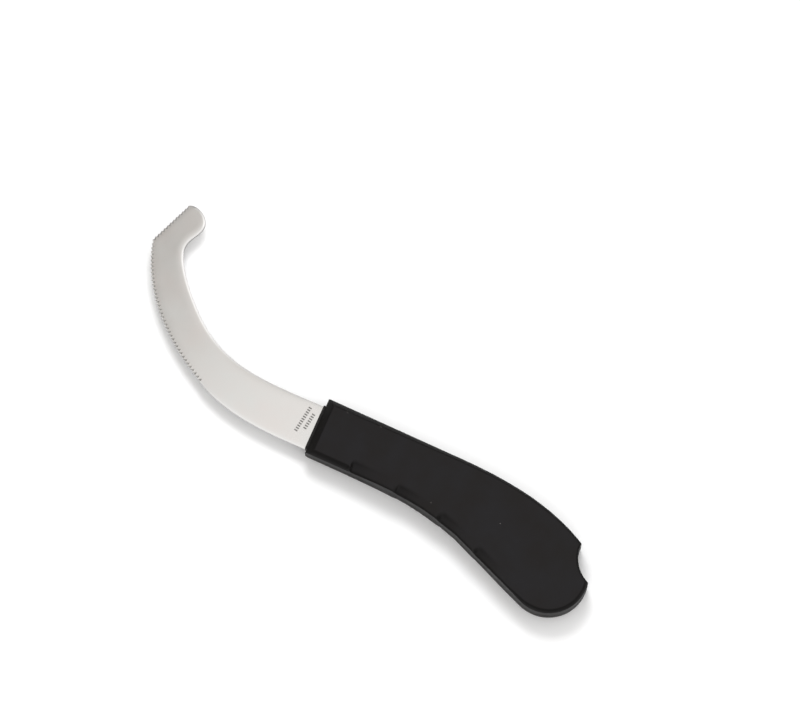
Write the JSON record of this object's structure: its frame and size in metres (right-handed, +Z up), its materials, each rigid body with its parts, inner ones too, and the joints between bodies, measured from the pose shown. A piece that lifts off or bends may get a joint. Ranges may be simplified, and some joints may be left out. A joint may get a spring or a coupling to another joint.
{
  "type": "rocker knife",
  "caption": "Hook-shaped rocker knife with a toothed convex blade and a broad moulded handle, for single-handed cutting of food.",
  "frame": {"origin": "bottom centre of the bounding box, on the surface that the handle lies on", "axes": "+X from the blade to the handle's butt, +Y towards the hook's tip, +Z up through the handle's thickness"},
  "size_m": [0.2038, 0.091, 0.014],
  "materials": {
    "blade_steel": "satin polished stainless steel",
    "pin_steel": "plain turned steel",
    "handle_plastic": "finely grained black moulding",
    "collar_plastic": "smooth black moulding"
  },
  "bodies": {
    "root": {"blade": "blade_steel", "blade_collar": "collar_plastic", "handle_shell_lower": "handle_plastic", "handle_shell_upper": "handle_plastic", "tang_pin_front": "pin_steel", "tang_pin_middle": "pin_steel", "tang_pin_rear": "pin_steel", "shell_dowel_rear": "handle_plastic"}
  },
  "joints": []
}
